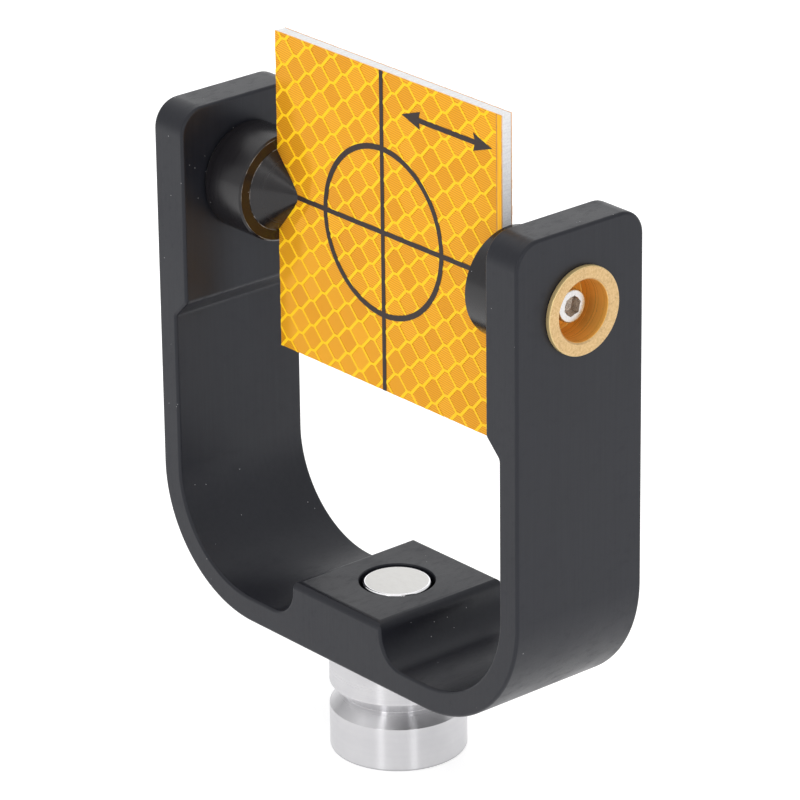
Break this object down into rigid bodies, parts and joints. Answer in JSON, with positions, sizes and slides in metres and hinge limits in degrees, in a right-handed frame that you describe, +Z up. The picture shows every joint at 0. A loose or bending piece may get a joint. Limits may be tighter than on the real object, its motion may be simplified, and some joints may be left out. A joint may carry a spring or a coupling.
{
  "type": "tilting survey target",
  "caption": "Square reflective sheet target that tilts between two hubs in a U-shaped yoke and swivels on a cylindrical pole socket.",
  "frame": {"origin": "centre of the pole socket's bottom face", "axes": "+Z up along the swivel axis, +X along the tilt axis towards the right-hand arm, and the printed sheet faces -Y"},
  "size_m": [0.0992, 0.029, 0.1291],
  "materials": {
    "turned_aluminium": "turned, bright",
    "satin_steel": "satin",
    "spring_steel": "plain",
    "screw_steel": "satin",
    "black_anodised": "satin black anodised aluminium",
    "journal_brass": "turned, bright",
    "white_core": "matte, cut edge",
    "reflective_sheet": "prismatic yellow reflective sheet with a dark printed cross-hair",
    "washer_plastic": "matte",
    "friction_plastic": "matte"
  },
  "bodies": {
    "base": {"socket_barrel": "turned_aluminium", "thrust_washer": "washer_plastic", "pivot_pin": "satin_steel", "spring_washer": "spring_steel"},
    "yoke": {"yoke": "black_anodised"},
    "target": {"plate_core": "white_core", "front_sheet": "reflective_sheet", "rear_sheet": "reflective_sheet", "hub_left": "black_anodised", "friction_washer_left": "friction_plastic", "clamp_cone_left": "black_anodised", "journal_left": "journal_brass", "screw_left": "screw_steel", "lock_washer_left": "spring_steel", "hub_right": "black_anodised", "friction_washer_right": "friction_plastic", "clamp_cone_right": "black_anodised", "journal_right": "journal_brass", "screw_right": "screw_steel", "lock_washer_right": "spring_steel"}
  },
  "joints": [
    {"name": "swivel", "type": "hinge", "parent": "base", "child": "yoke", "pos_m": [0, 0, 0.02], "axis": [0, 0, 1], "continuous": true},
    {"name": "tilt", "type": "hinge", "parent": "yoke", "child": "target", "pos_m": [0, 0, 0.0991], "axis": [1, 0, 0], "continuous": true}
  ]
}
